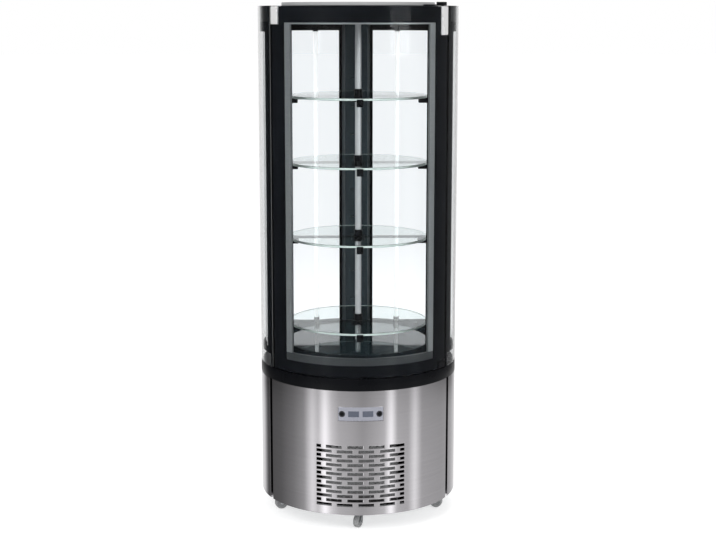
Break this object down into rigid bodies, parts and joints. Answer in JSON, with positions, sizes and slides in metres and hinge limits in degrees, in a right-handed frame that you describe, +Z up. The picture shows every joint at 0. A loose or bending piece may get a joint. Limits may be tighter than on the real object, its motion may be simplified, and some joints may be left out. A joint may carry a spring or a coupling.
{
  "type": "revolving glass display cabinet",
  "caption": "Round glass display cabinet on a steel drum with castors, with a curved hinged front door and a motor-driven carousel of round glass shelves that turns without end.",
  "frame": {"origin": "on the floor, under the carousel's axis, at the middle of the footprint", "axes": "+Z up along the carousel's axis; -Y towards the front door and control plate; +X to the right seen from the front"},
  "size_m": [0.68, 0.68, 1.754],
  "materials": {
    "brushed_drum_steel": "brushed level, satin",
    "bright_steel": "fine turned",
    "zinc_steel": "zinc plated",
    "black_painted_steel": "satin black powder coat",
    "compressor_black": "gloss black enamel",
    "fin_aluminium": "mill finish",
    "spacer_aluminium": "satin anodised",
    "black_plastic": "fine grain",
    "grey_plastic": "moulded",
    "well_liner": "satin dark liner over foam",
    "gloss_deck": "mirror gloss",
    "lid_grey": "satin pale grey",
    "clear_glass": "clear float glass, black printed border on the outer panes",
    "shelf_glass": "clear, polished greenish edge",
    "tube_white": "opal diffuser",
    "membrane_silver": "pale silver membrane",
    "seal_rubber": "soft black",
    "chrome": "polished"
  },
  "bodies": {
    "cabinet": {"front_panel": "brushed_drum_steel", "rear_shell": "brushed_drum_steel", "base_pan": "zinc_steel", "waist_ring": "black_painted_steel", "cold_well": "well_liner", "return_grille": "black_plastic", "deck": "gloss_deck", "right_post": "black_painted_steel", "left_post": "black_painted_steel", "rear_duct": "black_painted_steel", "roof": "black_plastic", "lid": "lid_grey", "light_tube_right": "tube_white", "light_tube_left": "tube_white", "right_outer_pane": "clear_glass", "right_inner_pane": "clear_glass", "right_spacer": "black_painted_steel", "left_outer_pane": "clear_glass", "left_inner_pane": "clear_glass", "left_spacer": "black_painted_steel", "top_pivot": "black_plastic", "lower_bearing": "grey_plastic", "gearmotor": "zinc_steel", "compressor": "compressor_black", "condenser": "fin_aluminium", "fan_shroud": "black_plastic", "evaporator": "fin_aluminium", "control_plate": "membrane_silver", "mains_inlet": "black_plastic"},
    "door": {"door_outer_pane": "clear_glass", "door_inner_pane": "clear_glass", "door_spacer": "spacer_aluminium", "door_frame": "black_painted_steel", "door_seal": "seal_rubber", "top_hinge": "chrome", "bottom_hinge": "black_painted_steel", "door_catch": "chrome"},
    "carousel": {"spindle": "bright_steel", "shelf_1": "shelf_glass", "shelf_spider_1": "black_painted_steel", "shelf_2": "shelf_glass", "shelf_spider_2": "black_painted_steel", "shelf_3": "shelf_glass", "shelf_spider_3": "black_painted_steel", "shelf_4": "shelf_glass", "shelf_spider_4": "black_painted_steel"},
    "condenser_fan_rotor": {"condenser_fan": "black_plastic"},
    "evaporator_fan_rotor": {"evaporator_fan": "black_plastic"},
    "castor_front": {"castor_fork_front": "zinc_steel"},
    "wheel_front": {"castor_wheel_front": "grey_plastic"},
    "castor_right": {"castor_fork_right": "zinc_steel"},
    "wheel_right": {"castor_wheel_right": "grey_plastic"},
    "castor_rear_right": {"castor_fork_rear_right": "zinc_steel"},
    "wheel_rear_right": {"castor_wheel_rear_right": "grey_plastic"},
    "castor_rear_left": {"castor_fork_rear_left": "zinc_steel"},
    "wheel_rear_left": {"castor_wheel_rear_left": "grey_plastic"},
    "castor_left": {"castor_fork_left": "zinc_steel"},
    "wheel_left": {"castor_wheel_left": "grey_plastic"},
    "button_left_key": {"button_left": "black_plastic"},
    "button_right_key": {"button_right": "black_plastic"}
  },
  "joints": [
    {"name": "door_swing", "type": "hinge", "parent": "cabinet", "child": "door", "pos_m": [0.27196, -0.18691, 1.1], "axis": [0, 0, 1], "range_deg": [0, 100]},
    {"name": "carousel_turn", "type": "hinge", "parent": "cabinet", "child": "carousel", "pos_m": [0, 0, 1], "axis": [0, 0, 1], "continuous": true},
    {"name": "condenser_fan_spin", "type": "hinge", "parent": "cabinet", "child": "condenser_fan_rotor", "pos_m": [0, -0.2445, 0.1846], "axis": [0, 1, 0], "continuous": true},
    {"name": "evaporator_fan_spin", "type": "hinge", "parent": "cabinet", "child": "evaporator_fan_rotor", "pos_m": [0, 0.185, 0.5193], "axis": [0, 1, 0], "continuous": true},
    {"name": "castor_front_swivel", "type": "hinge", "parent": "cabinet", "child": "castor_front", "pos_m": [0, -0.27, 0.06], "axis": [0, 0, 1], "continuous": true},
    {"name": "wheel_front_roll", "type": "hinge", "parent": "castor_front", "child": "wheel_front", "pos_m": [-0.00751, -0.28413, 0.0225], "axis": [-0.8829, 0.4695, 0], "continuous": true},
    {"name": "castor_right_swivel", "type": "hinge", "parent": "cabinet", "child": "castor_right", "pos_m": [0.25678, -0.08343, 0.06], "axis": [0, 0, 1], "continuous": true},
    {"name": "wheel_right_roll", "type": "hinge", "parent": "castor_right", "child": "wheel_right", "pos_m": [0.27182, -0.08891, 0.0225], "axis": [-0.342, -0.9397, 0], "continuous": true},
    {"name": "castor_rear_right_swivel", "type": "hinge", "parent": "cabinet", "child": "castor_rear_right", "pos_m": [0.1587, 0.21843, 0.06], "axis": [0, 0, 1], "continuous": true},
    {"name": "wheel_rear_right_roll", "type": "hinge", "parent": "castor_rear_right", "child": "wheel_rear_right", "pos_m": [0.1456, 0.20926, 0.0225], "axis": [-0.5736, 0.8192, 0], "continuous": true},
    {"name": "castor_rear_left_swivel", "type": "hinge", "parent": "cabinet", "child": "castor_rear_left", "pos_m": [-0.1587, 0.21843, 0.06], "axis": [0, 0, 1], "continuous": true},
    {"name": "wheel_rear_left_roll", "type": "hinge", "parent": "castor_rear_left", "child": "wheel_rear_left", "pos_m": [-0.1507, 0.20458, 0.0225], "axis": [-0.866, -0.5, 0], "continuous": true},
    {"name": "castor_left_swivel", "type": "hinge", "parent": "cabinet", "child": "castor_left", "pos_m": [-0.25678, -0.08343, 0.06], "axis": [0, 0, 1], "continuous": true},
    {"name": "wheel_left_roll", "type": "hinge", "parent": "castor_left", "child": "wheel_left", "pos_m": [-0.27182, -0.08891, 0.0225], "axis": [-0.342, 0.9397, 0], "continuous": true},
    {"name": "button_left_press", "type": "slide", "parent": "cabinet", "child": "button_left_key", "axis": [0.1828, 0.9832, 0], "range_m": [0, 0.0015], "stiffness_N_per_m": 400, "springref_m": -0.0005},
    {"name": "button_right_press", "type": "slide", "parent": "cabinet", "child": "button_right_key", "axis": [-0.1828, 0.9832, 0], "range_m": [0, 0.0015], "stiffness_N_per_m": 400, "springref_m": -0.0005}
  ]
}
